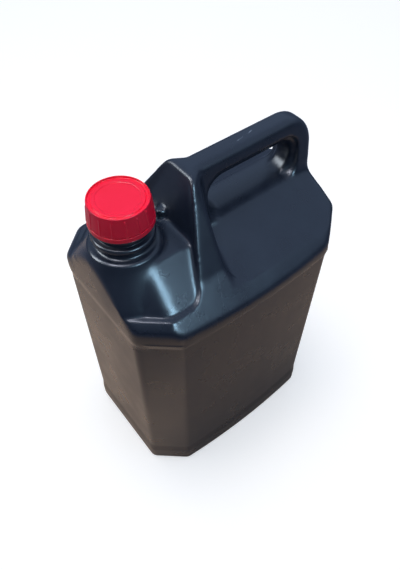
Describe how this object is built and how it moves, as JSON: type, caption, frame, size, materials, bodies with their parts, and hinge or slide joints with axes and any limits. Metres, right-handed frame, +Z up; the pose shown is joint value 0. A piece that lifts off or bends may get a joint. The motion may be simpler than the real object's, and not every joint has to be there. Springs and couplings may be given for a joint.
{
  "type": "jerrycan",
  "caption": "Blow-moulded plastic jerrycan with a moulded-in carrying handle, a recessed neck and a ribbed screw cap over a tamper ring.",
  "frame": {"origin": "centre of the footprint, on the plane the base stands on", "axes": "+Z up, +X along the long side from the neck towards the back wall, +Y across the width"},
  "size_m": [0.19, 0.1398, 0.2911],
  "materials": {
    "can": "satin black",
    "cap": "glossy red",
    "liner": "off-white foam"
  },
  "bodies": {
    "can": {"can_body": "can"},
    "liner": {"foam_liner": "liner"},
    "cap": {"screw_cap": "cap"},
    "ring": {"tamper_ring": "cap"}
  },
  "joints": [
    {"name": "cap_lift", "type": "slide", "parent": "can", "child": "liner", "axis": [0, 0, 1], "range_m": [0, 0.01261]},
    {"name": "cap_turn", "type": "hinge", "parent": "liner", "child": "cap", "pos_m": [-0.067, 0, 0.2766], "axis": [0, 0, 1], "range_deg": [0, 1080]},
    {"name": "ring_turn", "type": "hinge", "parent": "can", "child": "ring", "pos_m": [-0.067, 0, 0.2743], "axis": [0, 0, 1], "continuous": true}
  ],
  "couplings": [
    {"joint": "cap_lift", "follows": "cap_turn", "m_per_rad": 0.00066845}
  ]
}
